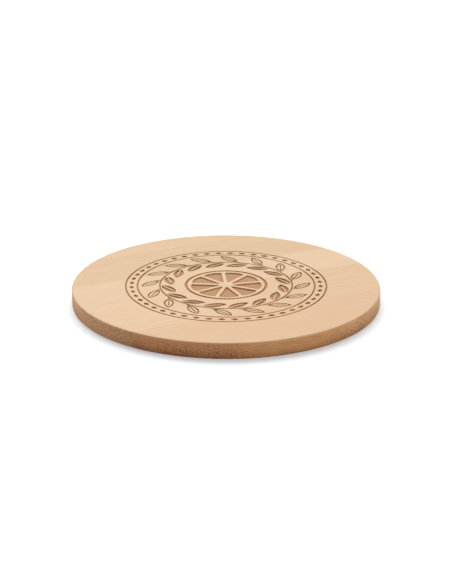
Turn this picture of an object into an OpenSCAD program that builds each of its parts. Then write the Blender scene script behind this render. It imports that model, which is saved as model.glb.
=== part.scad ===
// Round drink coaster: bamboo strips laid flat, glued edge to edge, cut to a
// disc, eased at both rims and engraved on top with a citrus wheel in a wreath.
// The origin is the middle of the underside. X runs along the grain, Y across
// the strips towards the back, and Z up.

/* [Disc] */
// Diameter of the coaster
disc_d = 95; // [88:1:120]
// Thickness of the coaster
disc_t = 5; // [3:0.5:8]
// Radius that eases the top rim
top_ease_r = 0.5; // [0.2:0.1:1.2]
// Radius that eases the bottom rim
foot_ease_r = 0.4; // [0.2:0.1:1.2]

/* [Bamboo strips] */
// Width of the strip in front of the middle glue line
middle_front_w = 24; // [18:0.5:26]
// Width of the strip behind the middle glue line
middle_back_w = 17.5; // [14:0.5:20]
// Width of the back edge strip, from its glue line to the rim
back_edge_w = 9.5; // [6:0.5:14]
// Thickness of a glue line
glue_t = 0.1; // [0.05:0.01:0.3]

/* [Engraving] */
// Depth of the engraving
engrave_depth = 0.4; // [0.2:0.1:0.8]
// Width of an engraved line
line_w = 0.55; // [0.4:0.05:0.8]
// Turn of the design from the grain, in degrees
design_turn = 10; // [0:5:90]

/* [Citrus wheel] */
// Radius of the core inside the segments
core_r = 2.2; // [1.5:0.1:3]
// Length of a segment, from the core outwards
segment_l = 8.8; // [7:0.1:10]
// Radius of a segment's crowned outer side
segment_crown_r = 5.8; // [5:0.1:8]
// Width of the skin left between two segments
membrane_w = 1.1; // [0.6:0.1:1.6]
// Number of segments
segment_count = 9; // [8:1:12]
// Width of the pith left between the segments and the rind
pith_w = 0.9; // [0.5:0.1:1.5]
// Width of the rind's line
rind_w = 0.9; // [0.6:0.1:1.2]

/* [Wreath] */
// Gap between the rind and the tips of the inner leaves
wreath_gap = 2.7; // [1.5:0.1:3.5]
// Length of a leaf
leaf_l = 7.6; // [6:0.1:8.4]
// Width of a leaf
leaf_w = 3.1; // [2.4:0.1:3.4]
// Gap between the stem's line and the foot of a leaf
leaf_gap = 0.4; // [0.3:0.1:0.8]
// Lean of a leaf away from the stem, in degrees
leaf_lean = 34; // [28:1:42]
// Width of a leaf's vein
vein_w = 0.4; // [0.3:0.05:0.5]
// Share of the leaf's length that the vein reaches
vein_share = 0.76; // [0.6:0.01:0.85]
// Number of leaves on each side of the stem
leaf_count = 16; // [10:1:17]

/* [Border] */
// Gap between the tips of the outer leaves and the border
border_gap = 2; // [1:0.1:3]
// Width of the border, from line to line
border_w = 3.6; // [2.8:0.1:4.5]
// Length of a lozenge, along the border
lozenge_l = 2.7; // [1.5:0.1:3.2]
// Width of a lozenge, across the border
lozenge_w = 1.6; // [1:0.1:2]
// Number of lozenges
lozenge_count = 48; // [24:1:54]

/* [Hidden] */
$fn = 96;
disc_r = disc_d / 2;
half_glue = glue_t / 2;
half_line = line_w / 2;
// How far a cutter runs past the face that it cuts
overrun = 1;
// Steps in a quarter of an eased rim
ease_steps = 6;
// Middle of each glue line along Y, front to back; the other strips take what is left
glue_ys = [-middle_front_w, 0, middle_back_w, disc_r - back_edge_w];
// The design, from the middle outwards
segment_r = core_r + segment_l;
rind_r = segment_r + pith_w + rind_w / 2;
leaf_foot = half_line + leaf_gap;
leaf_reach = leaf_foot + leaf_l * sin(leaf_lean);
stem_r = rind_r + rind_w / 2 + wreath_gap + leaf_reach;
border_in_r = stem_r + leaf_reach + border_gap;
border_out_r = border_in_r + border_w;
// Radius of a leaf's two sides
leaf_side_r = (pow(leaf_l, 2) + pow(leaf_w, 2)) / (4 * leaf_w);
pale_bamboo = [0.93, 0.81, 0.68];
warm_bamboo = [0.90, 0.77, 0.64];
dry_glue = [0.72, 0.56, 0.38];

// Points of an arc of radius r about a centre, from one angle to another
function arc(centre, r, from, to) = [
    for (i = [0 : ease_steps])
        let (a = from + (to - from) * i / ease_steps)
        [centre.x + r * cos(a), centre.y + r * sin(a)]
];

// The whole disc before it is sliced: a flat plate with both rims eased
module blank() {
    rotate_extrude()
        polygon(concat(
            [[0, 0]],
            arc([disc_r - foot_ease_r, foot_ease_r], foot_ease_r, -90, 0),
            arc([disc_r - top_ease_r, disc_t - top_ease_r], top_ease_r, 0, 90),
            [[0, disc_t]]
        ));
}

// A circle engraved with a line of width w
module ring(r, w) {
    difference() {
        circle(r = r + w / 2);
        circle(r = r - w / 2);
    }
}

// One segment of the citrus wheel, along X: a wedge with a crowned outer side
module segment() {
    half_angle = 180 / segment_count;
    wedge_tip = membrane_w / 2 / sin(half_angle);
    wedge_half_w = (rind_r - wedge_tip) * tan(half_angle);
    difference() {
        intersection() {
            polygon([[wedge_tip, 0], [rind_r, -wedge_half_w], [rind_r, wedge_half_w]]);
            translate([segment_r - segment_crown_r, 0])
                circle(r = segment_crown_r);
        }
        circle(r = core_r);
    }
}

module citrus_wheel() {
    ring(rind_r, rind_w);
    for (i = [0 : segment_count - 1])
        rotate(i * 360 / segment_count)
            segment();
}

// The shape of a leaf, its foot at the origin and its tip along X: where two
// equal circles cross, drawn in by a margin all round
module leaf_shape(margin) {
    intersection_for (side = [-1, 1])
        translate([leaf_l / 2, side * (leaf_side_r - leaf_w / 2)])
            circle(r = leaf_side_r - margin);
}

// The vein along the middle of a leaf, starting some way behind its foot
module vein(behind) {
    translate([-behind, -vein_w / 2])
        square([behind + leaf_l * vein_share, vein_w]);
}

// An inner leaf, engraved all over but for its vein
module full_leaf() {
    difference() {
        leaf_shape(0);
        vein(leaf_gap);
    }
}

// An outer leaf, engraved as an outline and a vein that runs on as its stalk
module open_leaf() {
    difference() {
        leaf_shape(0);
        leaf_shape(line_w);
    }
    vein(leaf_foot / sin(leaf_lean));
}

// Leaves on both sides of a round stem, the inner ones set between the outer ones
module wreath() {
    pitch = 360 / leaf_count;
    ring(stem_r, line_w);
    for (i = [0 : leaf_count - 1]) {
        rotate(i * pitch)
            translate([stem_r + leaf_foot, 0])
                rotate(90 - leaf_lean)
                    open_leaf();
        rotate((i + 0.5) * pitch)
            translate([stem_r - leaf_foot, 0])
                rotate(90 + leaf_lean)
                    full_leaf();
    }
}

module lozenge() {
    polygon([[lozenge_w / 2, 0], [0, lozenge_l / 2], [-lozenge_w / 2, 0], [0, -lozenge_l / 2]]);
}

// Two lines with a chain of lozenges between them
module border() {
    ring(border_in_r, line_w);
    ring(border_out_r, line_w);
    for (i = [0 : lozenge_count - 1])
        rotate(i * 360 / lozenge_count)
            translate([(border_in_r + border_out_r) / 2, 0])
                lozenge();
}

// What the engraving takes out of the top face
module engraving() {
    translate([0, 0, disc_t - engrave_depth])
        rotate(design_turn)
            linear_extrude(height = engrave_depth + overrun) {
                citrus_wheel();
                wreath();
                border();
            }
}

// The part of the engraved disc that lies between two places along Y
module slice(from_y, to_y) {
    difference() {
        intersection() {
            blank();
            translate([-disc_r - overrun, from_y, -overrun])
                cube([disc_d + 2 * overrun, to_y - from_y, disc_t + 2 * overrun]);
        }
        engraving();
    }
}

module front_strip() {
    color(warm_bamboo)
        slice(-disc_r - overrun, glue_ys[0] - half_glue);
}

module middle_front_strip() {
    color(pale_bamboo)
        slice(glue_ys[0] + half_glue, glue_ys[1] - half_glue);
}

module middle_back_strip() {
    color(pale_bamboo)
        slice(glue_ys[1] + half_glue, glue_ys[2] - half_glue);
}

module back_strip() {
    color(warm_bamboo)
        slice(glue_ys[2] + half_glue, glue_ys[3] - half_glue);
}

module back_edge_strip() {
    color(warm_bamboo)
        slice(glue_ys[3] + half_glue, disc_r + overrun);
}

// The film of set glue between two strips, about a place along Y
module glue_line(y) {
    color(dry_glue)
        slice(y - half_glue, y + half_glue);
}

front_strip();
middle_front_strip();
middle_back_strip();
back_strip();
back_edge_strip();
glue_line(glue_ys[0]);  // front_glue_line
glue_line(glue_ys[1]);  // middle_glue_line
glue_line(glue_ys[2]);  // back_glue_line
glue_line(glue_ys[3]);  // back_edge_glue_line
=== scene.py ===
"""Looks of a round bamboo drink coaster: glued strips with an engraved top face."""
import math
from collections import namedtuple
from types import SimpleNamespace

import bmesh
import bpy
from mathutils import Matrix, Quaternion, Vector
from mathutils.geometry import delaunay_2d_cdt


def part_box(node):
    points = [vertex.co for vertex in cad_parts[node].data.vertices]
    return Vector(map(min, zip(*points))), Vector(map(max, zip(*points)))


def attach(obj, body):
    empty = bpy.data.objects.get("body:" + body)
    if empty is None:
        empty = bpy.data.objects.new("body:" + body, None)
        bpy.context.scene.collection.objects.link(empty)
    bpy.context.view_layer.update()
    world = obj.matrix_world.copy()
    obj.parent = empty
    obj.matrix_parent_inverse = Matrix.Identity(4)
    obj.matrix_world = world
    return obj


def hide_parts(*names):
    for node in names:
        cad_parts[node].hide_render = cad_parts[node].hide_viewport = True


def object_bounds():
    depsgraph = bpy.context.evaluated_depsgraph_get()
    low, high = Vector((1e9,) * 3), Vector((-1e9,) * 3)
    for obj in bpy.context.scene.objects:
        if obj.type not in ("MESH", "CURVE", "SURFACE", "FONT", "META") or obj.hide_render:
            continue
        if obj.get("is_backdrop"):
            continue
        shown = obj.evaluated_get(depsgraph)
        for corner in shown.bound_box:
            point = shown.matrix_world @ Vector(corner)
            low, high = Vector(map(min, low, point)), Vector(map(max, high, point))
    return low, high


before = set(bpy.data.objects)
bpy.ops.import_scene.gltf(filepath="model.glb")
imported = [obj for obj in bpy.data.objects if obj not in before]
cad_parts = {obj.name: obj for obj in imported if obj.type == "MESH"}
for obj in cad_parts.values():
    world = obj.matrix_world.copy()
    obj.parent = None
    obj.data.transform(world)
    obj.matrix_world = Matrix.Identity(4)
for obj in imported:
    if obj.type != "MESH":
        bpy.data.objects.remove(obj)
cad_low, cad_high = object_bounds()

# Lengths are in millimetres, though meshes are made in metres, and angles in degrees.
# A size that the CAD source has too has the same name and value there
MM = 0.001
disc_r = (cad_high.x - cad_low.x) / 2 / MM
disc_t = (cad_high.z - cad_low.z) / MM

# Disc
top_ease_r = 0.5
foot_ease_r = 0.4
# Steps in a quarter of an eased edge, and the widest step round the rim
edge_steps = 8
rim_step = 0.75

# Engraving
engrave_depth = 0.4
line_w = 0.55
design_turn = 10
# How far the foot of a wall stands in from its top
wall_lean = 0.06
# The longest step along an arc, and the fewest steps in one
arc_step = 0.35
least_arc_steps = 4

# Citrus wheel
core_r = 2.2
segment_l = 8.8
segment_crown_r = 5.8
membrane_w = 1.1
segment_count = 9
pith_w = 0.9
rind_w = 0.9

# Wreath
wreath_gap = 2.7
leaf_l = 7.6
leaf_w = 3.1
leaf_gap = 0.4
leaf_lean = 34
vein_w = 0.4
vein_share = 0.76
leaf_count = 16

# Border
border_gap = 2
border_w = 3.6
lozenge_l = 2.7
lozenge_w = 1.6
lozenge_count = 48

# The design's radii, from the middle outwards
segment_r = core_r + segment_l
rind_r = segment_r + pith_w + rind_w / 2
leaf_foot = line_w / 2 + leaf_gap
leaf_reach = leaf_foot + leaf_l * math.sin(math.radians(leaf_lean))
stem_r = rind_r + rind_w / 2 + wreath_gap + leaf_reach
border_in_r = stem_r + leaf_reach + border_gap
border_out_r = border_in_r + border_w

# The triangulation's output, which is every triangle inside the convex hull, and how
# close two places are that it takes for one
WHOLE_HULL = 0
SAME_PLACE = 1e-7

# A drawn point this close to a strip's side is moved onto it, and the floor of the
# engraving keeps half as far off the side, so that no sliver or overlap is left
SNAP = 0.01
# A point of the triangulation this close to a strip's side lies on it
ON_SIDE = 1e-4

# Where a wall meets a strip's side, its foot slides along that side: the flattest
# crossing that is reckoned with, as the along-side part of the wall's normal, and
# the furthest slide
LEAST_CROSSING = 0.3
FURTHEST_SLIDE = 0.15
# Where two walls meet, their feet meet further in: the sharpest corner that is
# reckoned with, as a cosine, and the shortest sum of two normals with a direction
LEAST_CORNER = 0.5
LEAST_SUM = 1e-6

# The least that leaning walls may leave of a triangle of the floor, and the share of
# its shift that a floor point keeps at each try to mend that, in the end none
LEAST_FLOOR_SHARE = 0.1
KEPT_SHARES = (0.5,) * 6 + (0.0,)

# Face slots of every mesh, and the angle from which an edge is shaded as sharp
WOOD, FLOOR, WALL = 0, 1, 2
SHARP_ANGLE = 30


def arc_points(centre_x, centre_y, radius, start, end):
    """Points of an arc between two angles in radians, both ends included."""
    steps = max(least_arc_steps, math.ceil(abs(end - start) * radius / arc_step))
    angles = [start + (end - start) * i / steps for i in range(steps + 1)]
    return [(centre_x + radius * math.cos(a), centre_y + radius * math.sin(a)) for a in angles]


def circle_points(radius):
    return arc_points(0, 0, radius, 0, math.tau)[:-1]


def placed(points, turn, reach=0.0, lean=0.0):
    """Points leant about their origin, moved out along X and turned about the middle."""
    lean, turn = math.radians(lean), math.radians(turn + design_turn)
    result = []
    for x, y in points:
        out = x * math.cos(lean) - y * math.sin(lean) + reach
        side = x * math.sin(lean) + y * math.cos(lean)
        result.append((
            out * math.cos(turn) - side * math.sin(turn),
            out * math.sin(turn) + side * math.cos(turn),
        ))
    return result


def ring_shape(radius, width):
    return {"add": circle_points(radius + width / 2), "cut": circle_points(radius - width / 2)}


def segment_points():
    """A wedge between the core and a crowned outer side."""
    half = math.pi / segment_count
    tip = membrane_w / 2 / math.sin(half)

    def side_end(centre_x, radius):
        """Angle, about a circle's centre, at which the wedge's side crosses that circle."""
        offset = tip - centre_x
        run = offset * math.cos(half)
        along = -run + math.sqrt(run ** 2 - offset ** 2 + radius ** 2)
        return math.atan2(along * math.sin(half), offset + along * math.cos(half))

    crown_x = segment_r - segment_crown_r
    crown_end = side_end(crown_x, segment_crown_r)
    core_end = side_end(0, core_r)
    crown = arc_points(crown_x, 0, segment_crown_r, -crown_end, crown_end)
    return crown + arc_points(0, 0, core_r, core_end, -core_end)


def leaf_points(margin):
    """Where two equal circles cross, drawn in by a margin. The foot is at the origin."""
    side_r = (leaf_l ** 2 + leaf_w ** 2) / (4 * leaf_w)
    radius = side_r - margin
    half = math.acos((side_r - leaf_w / 2) / radius)
    quarter = math.pi / 2
    lower = arc_points(leaf_l / 2, side_r - leaf_w / 2, radius, -quarter - half, -quarter + half)
    upper = arc_points(leaf_l / 2, leaf_w / 2 - side_r, radius, quarter - half, quarter + half)
    return lower[:-1] + upper[:-1]


def vein_points(behind):
    """A bar along the middle of a leaf, starting some way behind its foot."""
    end = leaf_l * vein_share
    half = vein_w / 2
    return [(-behind, -half), (end, -half), (end, half), (-behind, half)]


def engraved_shapes():
    """Every engraved shape: what it adds to the engraving, and what it leaves uncut within."""
    shapes = [
        ring_shape(rind_r, rind_w),
        ring_shape(stem_r, line_w),
        ring_shape(border_in_r, line_w),
        ring_shape(border_out_r, line_w),
    ]
    for i in range(segment_count):
        shapes.append({"add": placed(segment_points(), i * 360 / segment_count)})
    pitch = 360 / leaf_count
    stalk = leaf_foot / math.sin(math.radians(leaf_lean))
    for i in range(leaf_count):
        outer = (i * pitch, stem_r + leaf_foot, 90 - leaf_lean)
        shapes.append({
            "add": placed(leaf_points(0), *outer),
            "cut": placed(leaf_points(line_w), *outer),
        })
        shapes.append({"add": placed(vein_points(stalk), *outer)})
        inner = ((i + 0.5) * pitch, stem_r - leaf_foot, 90 + leaf_lean)
        shapes.append({
            "add": placed(leaf_points(0), *inner),
            "cut": placed(vein_points(leaf_gap), *inner),
        })
    lozenge = [
        (lozenge_w / 2, 0), (0, lozenge_l / 2), (-lozenge_w / 2, 0), (0, -lozenge_l / 2),
    ]
    for i in range(lozenge_count):
        turn = i * 360 / lozenge_count
        shapes.append({"add": placed(lozenge, turn, (border_in_r + border_out_r) / 2)})
    return shapes


def rim_levels():
    """Radius and height of each ring of the rim, from the flat top to the flat underside."""
    quarters = [math.pi / 2 * i / edge_steps for i in range(edge_steps + 1)]
    top_in, foot_in = disc_r - top_ease_r, disc_r - foot_ease_r
    top = [
        (top_in + top_ease_r * math.sin(a), disc_t - top_ease_r + top_ease_r * math.cos(a))
        for a in quarters
    ]
    foot = [
        (foot_in + foot_ease_r * math.cos(a), foot_ease_r - foot_ease_r * math.sin(a))
        for a in quarters
    ]
    return top + foot


def slice_loop(radius, from_y, to_y):
    """The part of a circle between two places along Y, right side first.

    An open place, None, runs out to the rim. Returns the points and, for each
    straight side, the indexes of its two ends. Circles of any radius get as many
    points as the disc's own, so that the rings of a rim join up.
    """
    def limits(circle_r):
        """The two angles in radians at which a circle crosses the two places."""
        low = -math.pi / 2 if from_y is None else math.asin(from_y / circle_r)
        high = math.pi / 2 if to_y is None else math.asin(to_y / circle_r)
        return low, high

    low, high = limits(disc_r)
    count = max(1, math.ceil(math.degrees(high - low) / rim_step))
    low, high = limits(radius)
    angles = [low + (high - low) * i / count for i in range(count + 1)]
    right = [(radius * math.cos(a), radius * math.sin(a)) for a in angles]
    left = [(-x, y) for x, y in reversed(right)]
    if to_y is None:
        left = left[1:]
    if from_y is None:
        left = left[:-1]
    points = right + left
    back_side = None if to_y is None else (len(right) - 1, len(right))
    front_side = None if from_y is None else (len(points) - 1, 0)
    return points, front_side, back_side


def edges_of(corners):
    return zip(corners, corners[1:] + corners[:1])


def triangulated_face(outline, shapes):
    """Triangles of a strip's top face, each with whether it is engraved.

    Returns the points, the index of each outline point among them, and the triangles.
    """
    low_y = min(y for _, y in outline)
    high_y = max(y for _, y in outline)

    def snapped(x, y):
        near = [side_y for side_y in (low_y, high_y) if abs(y - side_y) < SNAP]
        return Vector((x, near[0] if near else y))

    # Loop 0 is the outline. Each other loop has the number of its shape and its role
    points = [Vector(p) for p in outline]
    loops = [list(range(len(outline)))]
    roles = [None]
    for number, shape in enumerate(shapes):
        ys = [y for _, y in shape["add"]]
        if max(ys) < low_y or min(ys) > high_y:
            continue
        for role in ("add", "cut"):
            if role in shape:
                start = len(points)
                points += [snapped(x, y) for x, y in shape[role]]
                loops.append(list(range(start, len(points))))
                roles.append((number, role))
    found = delaunay_2d_cdt(points, [], loops, WHOLE_HULL, SAME_PLACE, True)
    places, _, triangles, from_points, _, from_loops = found
    index_of = {}
    for index, sources in enumerate(from_points):
        for source in sources:
            if source < len(outline):
                index_of[source] = index
    kept = []
    for triangle, sources in zip(triangles, from_loops):
        if 0 not in sources:
            continue
        inside = {roles[s] for s in sources if s}
        engraved = any(
            role == "add" and (number, "cut") not in inside for number, role in inside
        )
        kept.append((tuple(triangle), engraved))
    return places, index_of, kept


def slide_along_side(normal):
    """How far the foot of a wall moves where it has to stay on a strip's side."""
    slide = min(wall_lean / max(abs(normal.x), LEAST_CROSSING), FURTHEST_SLIDE)
    return Vector((math.copysign(slide, normal.x), 0))


def shift_inwards(place, normals, side_ys):
    """How far the foot of a wall moves inside a strip, stopping short of its sides."""
    mean = sum(normals, Vector((0, 0)))
    mean = mean.normalized() if mean.length > LEAST_SUM else normals[0]
    shift = mean * (wall_lean / max(mean.dot(normals[0]), LEAST_CORNER))
    for y in side_ys:
        room = abs(place.y - y) - SNAP / 2
        if (y - place.y) * shift.y > 0 and abs(shift.y) > room:
            shift.y = math.copysign(room, shift.y)
    return shift


def floor_places(places, triangles, side_ys):
    """Where each engraved point lies on the floor, as the walls lean inwards by wall_lean."""
    engraved_edges = []
    land_edges = set()
    for corners, engraved in triangles:
        for a, b in edges_of(corners):
            if engraved:
                engraved_edges.append((a, b))
            else:
                land_edges.add((b, a))
    inward = {}
    for a, b in engraved_edges:
        if (a, b) in land_edges:
            run = (places[b] - places[a]).normalized()
            for point in (a, b):
                inward.setdefault(point, []).append(Vector((-run.y, run.x)))
    moved = {}
    for point, normals in inward.items():
        place = places[point]
        if any(abs(place.y - y) < ON_SIDE for y in side_ys):
            shift = slide_along_side(normals[0])
        else:
            shift = shift_inwards(place, normals, side_ys)
        moved[point] = place + shift
    return moved


def without_folds(places, floors, triangles):
    """Draws floor points back towards their own places until no floor triangle folds over."""
    def doubled_area(a, b, c):
        return (b - a).cross(c - a)

    for kept_share in KEPT_SHARES:
        folded = set()
        for corners, engraved in triangles:
            if engraved:
                drawn = doubled_area(*(places[c] for c in corners))
                leant = doubled_area(*(floors.get(c, places[c]) for c in corners))
                if leant < drawn * LEAST_FLOOR_SHARE:
                    folded.update(c for c in corners if c in floors)
        for point in folded:
            floors[point] = places[point].lerp(floors[point], kept_share)
    return floors


def slice_mesh(name, from_y, to_y, shapes):
    """The part of the engraved disc that lies between two places along Y, as a closed mesh."""
    levels = rim_levels()
    rim_loops = [slice_loop(radius, from_y, to_y)[0] for radius, _ in levels]
    outline, front_side, back_side = slice_loop(levels[0][0], from_y, to_y)
    places, index_of, triangles = triangulated_face(outline, shapes)
    side_ys = [y for y in (from_y, to_y) if y is not None]
    floors = without_folds(places, floor_places(places, triangles, side_ys), triangles)
    floor_z = disc_t - engrave_depth
    vertices, faces, slots = [], [], []
    made = {}

    def vertex(key, x, y, z):
        if key not in made:
            made[key] = len(vertices)
            vertices.append((x * MM, y * MM, z * MM))
        return made[key]

    def top(point):
        return vertex(("top", point), places[point].x, places[point].y, disc_t)

    def floor(point):
        place = floors.get(point, places[point])
        return vertex(("floor", point), place.x, place.y, floor_z)

    def rim(level, index):
        if level == 0:
            return top(index_of[index])
        x, y = rim_loops[level][index]
        return vertex(("rim", level, index), x, y, levels[level][1])

    # Each edge of a triangle, with whether that triangle is engraved
    engraved_along = {}
    for corners, engraved in triangles:
        lift = floor if engraved else top
        faces.append([lift(c) for c in corners])
        slots.append(FLOOR if engraved else WOOD)
        for edge in edges_of(corners):
            engraved_along[edge] = engraved
    for (a, b), engraved in engraved_along.items():
        if engraved and engraved_along.get((b, a)) is False:
            faces.append([floor(a), floor(b), top(b), top(a)])
            slots.append(WALL)
    count = len(outline)
    straight = [side[0] for side in (front_side, back_side) if side]
    for level in range(len(levels) - 1):
        for i in range(count):
            if i in straight:
                continue
            j = (i + 1) % count
            faces.append([rim(level, i), rim(level + 1, i), rim(level + 1, j), rim(level, j)])
            slots.append(WOOD)
    faces.append([rim(len(levels) - 1, i) for i in reversed(range(count))])
    slots.append(WOOD)
    for side in (front_side, back_side):
        if side:
            notched = notched_top(outline[side[0]][1], places, engraved_along, top, floor)
            start, end = side
            down = [rim(level, end) for level in range(1, len(levels))]
            up = [rim(level, start) for level in range(len(levels) - 1, 0, -1)]
            faces.append(notched + down + up)
            slots.append(WOOD)
    return mesh_from(name, vertices, faces, slots)


def notched_top(side_y, places, engraved_along, top, floor):
    """The top edge of the flat face along a glue line, notched where engraving crosses it."""
    step_to = {
        a: b for a, b in engraved_along
        if (b, a) not in engraved_along
        and abs(places[a].y - side_y) < ON_SIDE and abs(places[b].y - side_y) < ON_SIDE
    }
    point = next(a for a in step_to if a not in step_to.values())
    chain = []
    engraved = False
    while point in step_to:
        following = step_to[point]
        if engraved_along[(point, following)] != engraved:
            chain.append(floor(point) if engraved else top(point))
            engraved = not engraved
        chain.append(floor(point) if engraved else top(point))
        point = following
    return chain + [top(point)]


def mesh_from(name, vertices, faces, slots):
    """A new object, smooth but for its sharp edges, with its normals facing outwards."""
    mesh = bpy.data.meshes.new(name)
    mesh.from_pydata(vertices, [], faces)
    mesh.polygons.foreach_set("material_index", slots)
    shaped = bmesh.new()
    shaped.from_mesh(mesh)
    bmesh.ops.recalc_face_normals(shaped, faces=shaped.faces)
    shaped.to_mesh(mesh)
    shaped.free()
    mesh.shade_smooth()
    mesh.set_sharp_from_angle(angle=math.radians(SHARP_ANGLE))
    piece = bpy.data.objects.new(name, mesh)
    bpy.context.scene.collection.objects.link(piece)
    weighted = piece.modifiers.new("weighted_normals", "WEIGHTED_NORMAL")
    weighted.keep_sharp = True
    return piece


# A pattern of smooth noise about 0.5: its size along the grain and across it, levels of
# finer detail, how far it swings what it acts on, and the levels of noise from which it
# starts to show and shows in full
Pattern = namedtuple("Pattern", "along across detail swing edge", defaults=(None, None))

# How far the fibres wander along their length, and what keeps the two from being alike
SIDE_WANDER = Pattern(38, 60, detail=2.0, swing=5.0)
UP_WANDER = Pattern(30, 9, detail=2.0, swing=2.4)
UP_WANDER_SHIFT = 17.0

# Shade of the faces: broad bands, mottling, and fibres that show less in places
BROAD = Pattern(60, 8, detail=1.0, swing=0.06)
MOTTLE = Pattern(13, 3.4, detail=2.0, swing=0.10)
FIBRE = Pattern(9, 0.16, detail=3.0, swing=0.06)
STREAKY = Pattern(22, 5, detail=1.0, edge=(0.4, 0.6))
LEAST_STREAKY = 0.4
# The rise over which the pattern of the fibres moves on by a millimetre
FIBRE_STEP = 0.7
# Short dark dashes
DASHES = Pattern(3.2, 0.35, detail=1.0, edge=(0.66, 0.8))
DASH_DEPTH = 0.045

# Shade of the rim: layers, finer lines on side grain, flecks across and up on end
# grain, and patches of end grain that sanding has closed
LAYERS = Pattern(16, 0.8, detail=2.0, swing=0.22)
SIDE_LINES = Pattern(7, 0.4, detail=1.0, swing=0.45)
FLECKS = Pattern(0.27, 0.3, detail=1.0, swing=0.7)
CLOSED_PATCHES = Pattern(45, 7, detail=1.0, edge=(0.36, 0.6))

# Fibre bundles: how far apart they are, their radius as a share of that, how unevenly
# they lie, how much taller than wide they are, between which shares of its radius one
# fades, the strength of the faintest, and their colour in 0 to 255 sRGB steps
COARSE_BUNDLES = (0.58, 0.31)
FINE_BUNDLES = (0.42, 0.34)
BUNDLE_SCATTER = 0.75
BUNDLE_TALLNESS = 1.25
BUNDLE_FADE = (1.3, 0.7)
FAINTEST_BUNDLE = 0.4
BUNDLE_COLOUR = (122, 72, 38)
# How much of their colour bundles show on any surface, and how much more on end grain
BUNDLES_ANYWHERE = 0.09
BUNDLES_ON_ENDS = 0.62

# Heights above the pith side between which the skin side begins, and between which
# coarse bundles gain strength, their strength below that, and how much of the fibres'
# wander these heights follow
SKIN_BEGINS = (1.8, 4.4)
COARSE_GAIN = (0.3, 3.0)
COARSE_BY_PITH = 0.35
SKIN_WANDER_SHARE = 0.4

# What tells faces, rim and end grain apart: how upright a normal is where the rim's
# look begins and is full, and how far it points along the grain where end grain does
RIM_NORMAL = (0.95, 0.40)
END_NORMAL = (0.12, 0.55)
# The top arris, painted lighter as a highlight: how upright a normal is where the painted
# highlight begins and is full by the face, where it begins and is full by the rim, and how much
# lighter it is
ARRIS_BY_FACE = (1.0, 0.94)
ARRIS_BY_RIM = (0.6, 0.85)
ARRIS_PAINTED_HIGHLIGHT = 0.06

# The top of the rim is lighter and less tinted than the rest of the rim, and the walls of the
# engraving are not: heights between which that sets in, how much of the rim's tint it takes away,
# and how much lighter it leaves the wood
RIM_TOP_Z = (4.0, 4.7)
RIM_TOP_PALER = {"tint_lost": 0.15, "lighter": 0.05}
WALL_TOP_AS_IS = {"tint_lost": 0.0, "lighter": 0.0}

# Painted shade at the foot of the rim and along its very edge, where the floor shades it: how
# much darker they are, and the heights between which that fades
FOOT_PAINTED_SHADE = 0.08
FOOT_PAINTED_SHADE_Z = (0.2, 2.2)
EDGE_PAINTED_SHADE = 0.22
EDGE_PAINTED_SHADE_Z = (0.1, 0.7)
# How far behind a strip's front glue line its rim is darker
FRONT_DARK_REACH = 6.0

# Places along X between which a strip's left tone gives way to its right one, and how
# far the mottling moves them
TONE_CHANGE_X = (-30.0, 34.0)
TONE_CHANGE_WANDER = 30.0
# Red, green and blue shares of a change in shade
SHADE_WEIGHTS = (0.85, 1.0, 1.15)
# How far apart along the grain neighbouring strips take their patterns from
SEED_STEP = 131.0

# Roughness of the wood at two levels of mottling, how much smoother an eased edge is,
# and how far the rim's share has to be from 0 and from 1, as the product of the two,
# for that to begin and be full
ROUGHNESS = (0.52, 0.64)
ROUGHNESS_MOTTLE = (0.2, 0.8)
POLISH = 0.2
POLISHED_SHARE = (0.02, 0.2)
# Height of the fibres and depth of the bundles in the relief, and the relief's own
# strength and height on every surface
FIBRE_RELIEF = 0.6
BUNDLE_RELIEF = 0.5
RELIEF_STRENGTH = 0.35
RELIEF_HEIGHT = 0.04
# Shine of every surface
SURFACE_IOR = 1.45
SURFACE_SPECULAR = 0.2

# Burnt wood: its tint and how charred it is on the floor and on the walls, whose tint is painted
# lighter against the shade in the deep grooves, what full char does to its colour, the size of a
# speck of char, and its roughness
BURNT_FLOOR = ((0.77, 0.61, 0.53, 1), 0.4)
BURNT_WALL_PAINTED_LIGHTER = ((0.96, 1.10, 0.98, 1), 0.3)
CHAR_TINT = (0.45, 0.36, 0.30, 1)
CHAR_SPECK = 0.9
BURNT_ROUGHNESS = 0.75
# Distance between two passes of the beam, and how far they show in the char and in
# the relief
PASS_PITCH = 0.22
PASS_CHAR = 0.12
PASS_RELIEF = 0.25

# Glue: its palest and its darkest tone in 0 to 255 sRGB steps in each material, the
# clouds in which they mix, whose sizes are in metres, what the rim does to their
# colour, and the roughness
GLUE_TONES = {
    "glue": ((226, 192, 156), (186, 144, 104)),
    "glue_engraved_floor": ((176, 134, 100), (150, 108, 76)),
    "glue_engraved_wall": ((150, 112, 80), (128, 90, 60)),
}
GLUE_CLOUDS = Pattern(9 * MM, 3 * MM, detail=3.0, edge=(0.38, 0.62))
RIM_GLUE_TINT = (0.70, 0.52, 0.40, 1)
GLUE_ROUGHNESS = 0.4


def feed(tree, socket, value):
    """Links a socket or sets a plain value."""
    if isinstance(value, bpy.types.NodeSocket):
        tree.links.new(value, socket)
    else:
        socket.default_value = value


def node(tree, kind, **settings):
    made = tree.nodes.new(kind)
    for name, value in settings.items():
        setattr(made, name, value)
    return made


def maths(tree, operation, *values):
    made = node(tree, "ShaderNodeMath", operation=operation)
    for socket, value in zip(made.inputs, values):
        feed(tree, socket, value)
    return made.outputs[0]


def total(tree, first, *others):
    """The sum of any number of values."""
    for other in others:
        first = maths(tree, "ADD", first, other)
    return first


def product(tree, first, second):
    return maths(tree, "MULTIPLY", first, second)


def rest_of(tree, share):
    return maths(tree, "SUBTRACT", 1.0, share)


def swing(tree, source, size):
    """Noise about 0.5 as a swing about 0."""
    return product(tree, maths(tree, "SUBTRACT", source, 0.5), size)


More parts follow.
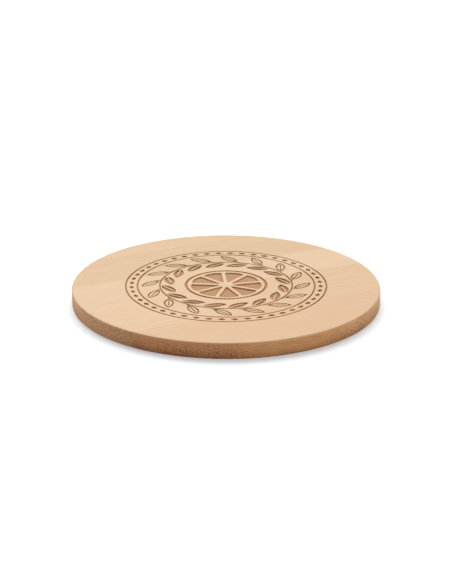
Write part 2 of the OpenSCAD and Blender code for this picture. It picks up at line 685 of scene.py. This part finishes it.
def scaled(tree, vector, factor):
    made = node(tree, "ShaderNodeVectorMath", operation="SCALE")
    feed(tree, made.inputs[0], vector)
    made.inputs["Scale"].default_value = factor
    return made.outputs[0]


def combined(tree, x, y, z=0.0):
    made = node(tree, "ShaderNodeCombineXYZ")
    for socket, value in zip(made.inputs, (x, y, z)):
        feed(tree, socket, value)
    return made.outputs[0]


def separated(tree, vector):
    made = node(tree, "ShaderNodeSeparateXYZ")
    feed(tree, made.inputs[0], vector)
    return made.outputs


def ramp(tree, value, low, high, to_low=0.0, to_high=1.0):
    """A smooth step from one level to another as a value goes from low to high."""
    made = node(tree, "ShaderNodeMapRange", interpolation_type="SMOOTHSTEP")
    for socket, number in zip(made.inputs, (value, low, high, to_low, to_high)):
        feed(tree, socket, number)
    return made.outputs["Result"]


def noise(tree, x, y, pattern, shift=None):
    """A pattern over two coordinates. A shift moves it across by so many of its sizes."""
    along = maths(tree, "DIVIDE", x, pattern.along)
    across = maths(tree, "DIVIDE", y, pattern.across)
    if shift is not None:
        across = total(tree, across, shift)
    made = node(tree, "ShaderNodeTexNoise", noise_dimensions="2D")
    feed(tree, made.inputs["Vector"], combined(tree, along, across))
    made.inputs["Scale"].default_value = 1.0
    made.inputs["Detail"].default_value = pattern.detail
    return made.outputs["Fac"]


def blend_colour(tree, kind, factor, first, second):
    made = node(tree, "ShaderNodeMix", data_type="RGBA", blend_type=kind)
    inputs = {socket.identifier: socket for socket in made.inputs}
    feed(tree, inputs["Factor_Float"], factor)
    feed(tree, inputs["A_Color"], first)
    feed(tree, inputs["B_Color"], second)
    return next(socket for socket in made.outputs if socket.identifier == "Result_Color")


def linear(red, green, blue):
    """A colour written in 0 to 255 sRGB steps, as the shader's linear colour."""
    def channel(step):
        share = step / 255
        return share / 12.92 if share <= 0.04045 else ((share + 0.055) / 1.055) ** 2.4

    return (channel(red), channel(green), channel(blue), 1.0)


def weighted_shade(tree, shade):
    """A shade about 0 as a tint about 1: darker bamboo is also a little more yellow."""
    tints = [maths(tree, "MULTIPLY_ADD", shade, weight, 1.0) for weight in SHADE_WEIGHTS]
    return combined(tree, *tints)


def bundle_spots(tree, across, height, spacing, radius):
    """Fibre bundles cut across: a spot in each cell of a plane square to the grain."""
    made = node(tree, "ShaderNodeTexVoronoi", voronoi_dimensions="2D", feature="F1")
    feed(tree, made.inputs["Vector"], combined(tree, across, height))
    made.inputs["Scale"].default_value = 1 / spacing
    made.inputs["Randomness"].default_value = BUNDLE_SCATTER
    fade_out, fade_in = BUNDLE_FADE
    spot = ramp(tree, made.outputs["Distance"], radius * fade_out, radius * fade_in)
    own = node(tree, "ShaderNodeSeparateColor")
    feed(tree, own.inputs[0], made.outputs["Color"])
    return product(tree, spot, ramp(tree, own.outputs[0], 0.0, 1.0, FAINTEST_BUNDLE, 1.0))


def rim_share(tree, upward):
    """0 on the flat faces and 1 on the upright rim, from how upright a normal is."""
    return ramp(tree, upward, *RIM_NORMAL)


def grain_places(tree, strip, seed):
    """Where a point lies in its strip, in millimetres, and which way its surface faces.

    The fibres wander up and down and from side to side along their length.
    """
    coordinates = node(tree, "ShaderNodeTexCoord")
    from_middle, y, z = separated(tree, scaled(tree, coordinates.outputs["Object"], 1 / MM))
    normal_x, _, normal_z = separated(tree, coordinates.outputs["Normal"])
    upward = maths(tree, "ABSOLUTE", normal_z)
    endward = maths(tree, "ABSOLUTE", normal_x)
    x = total(tree, from_middle, seed * SEED_STEP)
    from_pith = z if strip["skin_up"] else maths(tree, "SUBTRACT", disc_t, z)
    sideways = swing(tree, noise(tree, x, y, SIDE_WANDER), SIDE_WANDER.swing)
    upwards = swing(tree, noise(tree, x, y, UP_WANDER, UP_WANDER_SHIFT), UP_WANDER.swing)
    towards_skin = total(tree, from_pith, product(tree, upwards, SKIN_WANDER_SHARE))
    return SimpleNamespace(
        from_middle=from_middle,
        x=x,
        y=y,
        z=z,
        from_front=maths(tree, "SUBTRACT", y, strip["front_y"]),
        upward=upward,
        across=total(tree, y, sideways),
        height=maths(tree, "DIVIDE", total(tree, from_pith, upwards), BUNDLE_TALLNESS),
        layer=total(tree, z, upwards),
        skin_side=ramp(tree, towards_skin, *SKIN_BEGINS),
        off_pith=ramp(tree, towards_skin, *COARSE_GAIN, COARSE_BY_PITH, 1.0),
        rim=rim_share(tree, upward),
        rim_top=ramp(tree, z, *RIM_TOP_Z),
        end_grain=ramp(tree, endward, *END_NORMAL),
    )


def fibre_bundles(tree, at):
    """Spots on end grain that run along the strip as streaks, finer and closer by the skin."""
    coarse = bundle_spots(tree, at.across, at.height, *COARSE_BUNDLES)
    thinned = product(tree, coarse, at.off_pith)
    fine = bundle_spots(tree, at.across, at.height, *FINE_BUNDLES)
    return maths(tree, "MAXIMUM", thinned, product(tree, fine, at.skin_side))


def cut_ends(tree, at, strip):
    """How strongly end grain shows its bundles, which sanding has closed in places."""
    patches = noise(tree, at.x, at.y, CLOSED_PATCHES, strip["speckle_shift"])
    strength = ramp(tree, patches, *CLOSED_PATCHES.edge, strip["least_speckle"], 1.0)
    return product(tree, product(tree, at.end_grain, at.rim), strength)


def rim_shade(tree, at, strip):
    """How much lighter or darker than the faces each place of the rim is."""
    layers = noise(tree, at.x, at.layer, LAYERS)
    side_lines = noise(tree, at.x, at.layer, SIDE_LINES)
    return total(
        tree,
        swing(tree, layers, LAYERS.swing),
        product(tree, swing(tree, side_lines, SIDE_LINES.swing), rest_of(tree, at.end_grain)),
        # Lighter towards the top of the rim
        product(tree, at.rim_top, strip["rim_top_change"]["lighter"]),
        product(tree, at.skin_side, -strip["skin_dark"]),
        ramp(tree, at.from_front, 0.0, FRONT_DARK_REACH, -strip["front_dark"], 0.0),
        # Painted shade: darker towards the foot of the rim and darkest along its very edge
        ramp(tree, at.z, *FOOT_PAINTED_SHADE_Z, -FOOT_PAINTED_SHADE, 0.0),
        ramp(tree, at.z, *EDGE_PAINTED_SHADE_Z, -EDGE_PAINTED_SHADE, 0.0),
    )


def grain_shade(tree, at, strip, ends, mottle, fibre):
    """How much lighter or darker than its strip's tone each place is."""
    broad = noise(tree, at.x, at.y, BROAD)
    streaky = ramp(tree, noise(tree, at.x, at.y, STREAKY), *STREAKY.edge, LEAST_STREAKY, 1.0)
    dashes = ramp(tree, noise(tree, at.x, at.across, DASHES), *DASHES.edge)
    flecks = noise(tree, at.across, at.height, FLECKS)
    # A painted highlight along the top arris
    arris = product(
        tree, ramp(tree, at.upward, *ARRIS_BY_FACE), ramp(tree, at.upward, *ARRIS_BY_RIM)
    )
    return total(
        tree,
        swing(tree, mottle, MOTTLE.swing),
        swing(tree, broad, BROAD.swing),
        product(tree, swing(tree, fibre, FIBRE.swing), streaky),
        product(tree, ends, swing(tree, flecks, FLECKS.swing)),
        product(tree, dashes, -DASH_DEPTH),
        product(tree, at.rim, rim_shade(tree, at, strip)),
        product(tree, arris, ARRIS_PAINTED_HIGHLIGHT),
    )


def bamboo(tree, strip, seed):
    """Colour and relief of solid bamboo whose fibres run along X.

    The fibre bundles are spots in the plane across the grain that wander along
    it, so the same pattern gives speckle on the rim and streaks on the faces.
    The side of the strip that lay under the skin has a shade of its own and
    shows more of them. Returns the mottling and the rim's share as well.
    """
    at = grain_places(tree, strip, seed)
    mottle = noise(tree, at.x, at.y, MOTTLE)
    layered = total(tree, at.across, maths(tree, "DIVIDE", at.z, FIBRE_STEP))
    fibre = noise(tree, at.x, layered, FIBRE)
    spots = fibre_bundles(tree, at)
    ends = cut_ends(tree, at, strip)

    left, right = strip["tones"]
    rightward = total(tree, at.from_middle, swing(tree, mottle, TONE_CHANGE_WANDER))
    to_right = ramp(tree, rightward, *TONE_CHANGE_X)
    tone = blend_colour(tree, "MIX", to_right, linear(*left), linear(*right))
    showing = total(tree, product(tree, ends, BUNDLES_ON_ENDS), BUNDLES_ANYWHERE)
    spotted = blend_colour(
        tree, "MIX", product(tree, spots, showing), tone, linear(*BUNDLE_COLOUR)
    )
    shade = grain_shade(tree, at, strip, ends, mottle, fibre)
    shaded = blend_colour(tree, "MULTIPLY", 1.0, spotted, weighted_shade(tree, shade))

    end_left, end_right = strip["end_tints"]
    end_tint = blend_colour(tree, "MIX", to_right, (*end_left, 1), (*end_right, 1))
    rim_tint = blend_colour(tree, "MIX", at.end_grain, (*strip["side_tint"], 1), end_tint)
    # Less of the rim's tint towards the top of the rim
    tint_left = ramp(tree, at.rim_top, 0.0, 1.0, 1.0, 1.0 - strip["rim_top_change"]["tint_lost"])
    tinted = product(tree, at.rim, tint_left)
    colour = blend_colour(tree, "MULTIPLY", tinted, shaded, rim_tint)
    relief = maths(
        tree, "SUBTRACT", swing(tree, fibre, FIBRE_RELIEF), product(tree, spots, BUNDLE_RELIEF)
    )
    return colour, relief, mottle, at.rim


def finished(name, look):
    """A new material whose colour, roughness and relief come from look(tree)."""
    material = bpy.data.materials.new(name)
    material.use_nodes = True
    tree = material.node_tree
    tree.nodes.clear()
    colour, roughness, relief = look(tree)
    surface = node(tree, "ShaderNodeBsdfPrincipled")
    surface.inputs["IOR"].default_value = SURFACE_IOR
    surface.inputs["Specular IOR Level"].default_value = SURFACE_SPECULAR
    feed(tree, surface.inputs["Base Color"], colour)
    feed(tree, surface.inputs["Roughness"], roughness)
    bump = node(tree, "ShaderNodeBump")
    bump.inputs["Strength"].default_value = RELIEF_STRENGTH
    bump.inputs["Distance"].default_value = RELIEF_HEIGHT * MM
    feed(tree, bump.inputs["Height"], relief)
    feed(tree, surface.inputs["Normal"], bump.outputs[0])
    output = node(tree, "ShaderNodeOutputMaterial")
    tree.links.new(surface.outputs[0], output.inputs["Surface"])
    return material


def strip_materials(name, strip, seed):
    """Sanded bamboo, the browned floor of the engraving, and its charred walls."""
    def sanded(tree):
        colour, relief, mottle, rim = bamboo(tree, {**strip, "rim_top_change": RIM_TOP_PALER}, seed)
        # Handling has polished the eased edges, where the normal leans
        eased = product(tree, rim, rest_of(tree, rim))
        polish = ramp(tree, eased, *POLISHED_SHARE, 0.0, POLISH)
        unpolished = ramp(tree, mottle, *ROUGHNESS_MOTTLE, *ROUGHNESS)
        return colour, maths(tree, "SUBTRACT", unpolished, polish), relief

    def burnt(tint, charred):
        def look(tree):
            colour, relief, _, _ = bamboo(tree, {**strip, "rim_top_change": WALL_TOP_AS_IS}, seed)
            tinted = blend_colour(tree, "MULTIPLY", 1.0, colour, tint)
            place = node(tree, "ShaderNodeTexCoord").outputs["Object"]
            specks = node(tree, "ShaderNodeTexNoise")
            feed(tree, specks.inputs["Vector"], place)
            specks.inputs["Scale"].default_value = 1 / (CHAR_SPECK * MM)
            _, y, _ = separated(tree, place)
            passes = maths(tree, "SINE", product(tree, y, math.tau / (PASS_PITCH * MM)))
            char = total(tree, specks.outputs["Fac"], product(tree, passes, PASS_CHAR))
            dark = blend_colour(tree, "MULTIPLY", product(tree, char, charred), tinted, CHAR_TINT)
            grooved = total(tree, relief, product(tree, passes, PASS_RELIEF))
            return dark, BURNT_ROUGHNESS, grooved
        return look

    return [
        finished(name, sanded),
        finished(name + "_engraved_floor", burnt(*BURNT_FLOOR)),
        # The walls' tint is painted lighter against the shade in the deep grooves
        finished(name + "_engraved_wall", burnt(*BURNT_WALL_PAINTED_LIGHTER)),
    ]


def glue_materials():
    """Set amber glue: a fine line, in places as pale as the bamboo beside it."""
    def amber(pale, dark):
        def look(tree):
            coordinates = node(tree, "ShaderNodeTexCoord")
            x, y, _ = separated(tree, coordinates.outputs["Object"])
            _, _, normal_z = separated(tree, coordinates.outputs["Normal"])
            clouds = noise(tree, x, y, GLUE_CLOUDS)
            share = ramp(tree, clouds, *GLUE_CLOUDS.edge)
            colour = blend_colour(tree, "MIX", share, linear(*pale), linear(*dark))
            rim = rim_share(tree, maths(tree, "ABSOLUTE", normal_z))
            tinted = blend_colour(tree, "MULTIPLY", rim, colour, RIM_GLUE_TINT)
            return tinted, GLUE_ROUGHNESS, clouds
        return look

    return [finished(name, amber(*tones)) for name, tones in GLUE_TONES.items()]


# What sets each strip apart, front to back:
#   tones          its colour at the left and at the right, in 0 to 255 sRGB steps
#   end_tints      what sawn end grain does to that colour at the left and the right
#   side_tint      what the rim's sanded side grain does to it
#   least_speckle  how far the bundles show where sanding has closed the end grain
#   speckle_shift  moves the closed patches across the strip
#   skin_up        whether the side that lay under the skin faces up
#   skin_dark      how much darker the rim is on that side, or paler where it is below 0
#   front_dark     how much darker the rim is beside the glue line in front
STRIPS = {
    "front_strip": {
        "tones": ((226, 189, 150), (223, 186, 148)),
        # Its left end tint is darker partly as the wood's own tone and partly as painted shade on
        # the front left of the rim
        "end_tints": ((0.84, 0.58, 0.43), (0.95, 0.775, 0.59)),
        "side_tint": (0.94, 0.70, 0.495),
        "least_speckle": 0.35, "speckle_shift": 2.8,
        "skin_up": False, "skin_dark": 0.12, "front_dark": 0.0,
    },
    "middle_front_strip": {
        "tones": ((233, 198, 162), (226, 191, 152)),
        "end_tints": ((0.815, 0.637, 0.487), (0.82, 0.63, 0.465)),
        "side_tint": (0.93, 0.72, 0.52),
        "least_speckle": 0.90, "speckle_shift": 0.0,
        "skin_up": True, "skin_dark": -0.12, "front_dark": 0.11,
    },
    "middle_back_strip": {
        "tones": ((230, 198, 162), (229, 197, 162)),
        "end_tints": ((0.92, 0.70, 0.515), (0.87, 0.68, 0.52)),
        "side_tint": (0.93, 0.74, 0.55),
        "least_speckle": 0.35, "speckle_shift": 0.0,
        "skin_up": False, "skin_dark": 0.02, "front_dark": 0.0,
    },
    "back_strip": {
        "tones": ((227, 193, 154), (224, 190, 150)),
        "end_tints": ((0.88, 0.68, 0.52), (0.85, 0.66, 0.50)),
        "side_tint": (0.93, 0.75, 0.56),
        "least_speckle": 0.50, "speckle_shift": 0.0,
        "skin_up": True, "skin_dark": 0.06, "front_dark": 0.04,
    },
    "back_edge_strip": {
        "tones": ((229, 194, 155), (222, 190, 149)),
        "end_tints": ((0.85, 0.66, 0.50), (0.87, 0.68, 0.52)),
        "side_tint": (0.93, 0.75, 0.56),
        "least_speckle": 0.50, "speckle_shift": 0.0,
        "skin_up": False, "skin_dark": 0.14, "front_dark": 0.03,
    },
}
FOREMOST_STRIP, HINDMOST_STRIP = "front_strip", "back_edge_strip"
GLUE_LINES = ("front_glue_line", "middle_glue_line", "back_glue_line", "back_edge_glue_line")


def slice_limits(name):
    """A node's two places along Y, with None where it runs out to the rim."""
    low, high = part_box(name)
    from_y = None if name == FOREMOST_STRIP else low.y / MM
    to_y = None if name == HINDMOST_STRIP else high.y / MM
    return from_y, to_y


def make_pieces():
    shapes = engraved_shapes()
    looks = {}
    for seed, (name, strip) in enumerate(STRIPS.items(), start=1):
        front_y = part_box(name)[0].y / MM
        looks[name] = strip_materials(name + "_bamboo", {**strip, "front_y": front_y}, seed)
    glue = glue_materials()
    for name in GLUE_LINES:
        looks[name] = glue
    for name, materials in looks.items():
        piece = slice_mesh(name + "_finished", *slice_limits(name), shapes)
        for material in materials:
            piece.data.materials.append(material)
        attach(piece, "root")
        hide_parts(name)


# The photograph's camera: its frame and where the face's middle lies in it, in pixels,
# its focal length in pixels, and its place about that middle
PHOTO_W, PHOTO_H = 452, 584
FACE_MIDDLE_PX = (226.1, 284.6)
FOCAL_PX = 1764.3
CAMERA_AZIMUTH = -25.0
CAMERA_ELEVATION = 20.47
CAMERA_DISTANCE = 544.9
CAMERA_ROLL = 0.112
CLIP_START = 10

# Strength of the surround
SKY_LEVEL = 0.38
# Lamps, each a wide soft disc: its level on a level floor, its azimuth from the
# camera's right-hand side towards the back, its elevation and its spread
LAMPS = {
    "key_behind": {"level": 0.56, "azimuth": 94, "elevation": 50, "spread": 48},
    "fill_right": {"level": 0.07, "azimuth": 345, "elevation": 15, "spread": 60},
    "fill_left": {"level": 0.05, "azimuth": 170, "elevation": 15, "spread": 60},
}

# The floor: how far it reaches from the middle, how far it lies below the underside,
# so that the two don't share a plane, its colour where it lights the coaster and where
# it is seen, and the glow that brings it to white where it is seen
FLOOR_REACH = 6000
FLOOR_DROP = 0.01
FLOOR_COLOUR = (0.72, 0.72, 0.72, 1)
FLOOR_SEEN_COLOUR = (0.90, 0.96, 1.0, 1)
FLOOR_GLOW = 0.22


def direction(azimuth, elevation):
    """The direction that lies at an azimuth from X towards Y and at an elevation."""
    azimuth, elevation = math.radians(azimuth), math.radians(elevation)
    return Vector((
        math.cos(azimuth) * math.cos(elevation),
        math.sin(azimuth) * math.cos(elevation),
        math.sin(elevation),
    ))


def make_camera():
    """The photograph's view, aimed beside the face's middle as the photograph is."""
    back = direction(CAMERA_AZIMUTH - 90, CAMERA_ELEVATION)
    right = direction(CAMERA_AZIMUTH, 0)
    up = back.cross(right)
    face_middle = Vector((0, 0, disc_t * MM))
    per_px = CAMERA_DISTANCE * MM / FOCAL_PX
    aim = (
        face_middle
        + right * ((PHOTO_W / 2 - FACE_MIDDLE_PX[0]) * per_px)
        - up * ((PHOTO_H / 2 - FACE_MIDDLE_PX[1]) * per_px)
    )
    camera = bpy.data.cameras.new("camera")
    camera.lens = FOCAL_PX / PHOTO_H * camera.sensor_width
    camera.clip_start = CLIP_START * MM
    holder = bpy.data.objects.new("camera", camera)
    holder.location = face_middle + back * (CAMERA_DISTANCE * MM)
    holder.rotation_mode = "QUATERNION"
    roll = Quaternion((0, 0, 1), math.radians(CAMERA_ROLL))
    holder.rotation_quaternion = (aim - holder.location).to_track_quat("-Z", "Y") @ roll
    bpy.context.scene.collection.objects.link(holder)
    bpy.context.scene.camera = holder


def seen_directly(tree):
    """1 where the camera sees a surface directly or in a mirror or glass."""
    path = node(tree, "ShaderNodeLightPath")
    seen = maths(tree, "MAXIMUM", path.outputs["Is Camera Ray"], path.outputs["Is Glossy Ray"])
    return maths(tree, "MAXIMUM", seen, path.outputs["Is Transmission Ray"])


def make_floor():
    """A white floor that keeps the coaster's shadow."""
    reach, z = FLOOR_REACH * MM, -FLOOR_DROP * MM
    mesh = bpy.data.meshes.new("floor")
    corners = [(-reach, -reach, z), (reach, -reach, z), (reach, reach, z), (-reach, reach, z)]
    mesh.from_pydata(corners, [], [(0, 1, 2, 3)])
    floor = bpy.data.objects.new("floor", mesh)
    bpy.context.scene.collection.objects.link(floor)
    material = bpy.data.materials.new("white_floor")
    material.use_nodes = True
    tree = material.node_tree
    tree.nodes.clear()
    seen = seen_directly(tree)
    paint = node(tree, "ShaderNodeBsdfDiffuse")
    colour = blend_colour(tree, "MIX", seen, FLOOR_COLOUR, FLOOR_SEEN_COLOUR)
    feed(tree, paint.inputs["Color"], colour)
    glow = node(tree, "ShaderNodeEmission")
    feed(tree, glow.inputs["Strength"], product(tree, seen, FLOOR_GLOW))
    both = node(tree, "ShaderNodeAddShader")
    tree.links.new(paint.outputs[0], both.inputs[0])
    tree.links.new(glow.outputs[0], both.inputs[1])
    output = node(tree, "ShaderNodeOutputMaterial")
    tree.links.new(both.outputs[0], output.inputs["Surface"])
    mesh.materials.append(material)
    floor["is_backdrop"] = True


def make_light():
    """A white studio: an even surround, and wide soft lamps behind and at both sides."""
    world = bpy.data.worlds.new("studio")
    bpy.context.scene.world = world
    world.use_nodes = True
    tree = world.node_tree
    tree.nodes.clear()
    surround = node(tree, "ShaderNodeBackground")
    strength = ramp(tree, seen_directly(tree), 0.0, 1.0, SKY_LEVEL, 1.0)
    feed(tree, surround.inputs["Strength"], strength)
    output = node(tree, "ShaderNodeOutputWorld")
    tree.links.new(surround.outputs[0], output.inputs["Surface"])
    for name, settings in LAMPS.items():
        elevation = settings["elevation"]
        towards = direction(CAMERA_AZIMUTH + settings["azimuth"], elevation)
        lamp = bpy.data.lights.new(name, "SUN")
        lamp.angle = math.radians(settings["spread"])
        lamp.energy = settings["level"] * math.pi / math.sin(math.radians(elevation))
        holder = bpy.data.objects.new(name, lamp)
        holder.rotation_mode = "QUATERNION"
        holder.rotation_quaternion = (-towards).to_track_quat("-Z", "Y")
        bpy.context.scene.collection.objects.link(holder)


bpy.context.scene.view_settings.view_transform = "Standard"
make_camera()
make_floor()
make_light()
make_pieces()

boxes = {"cad": [cad_low, cad_high], "visual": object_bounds()}
{name: [list(corner) for corner in box] for name, box in boxes.items()}
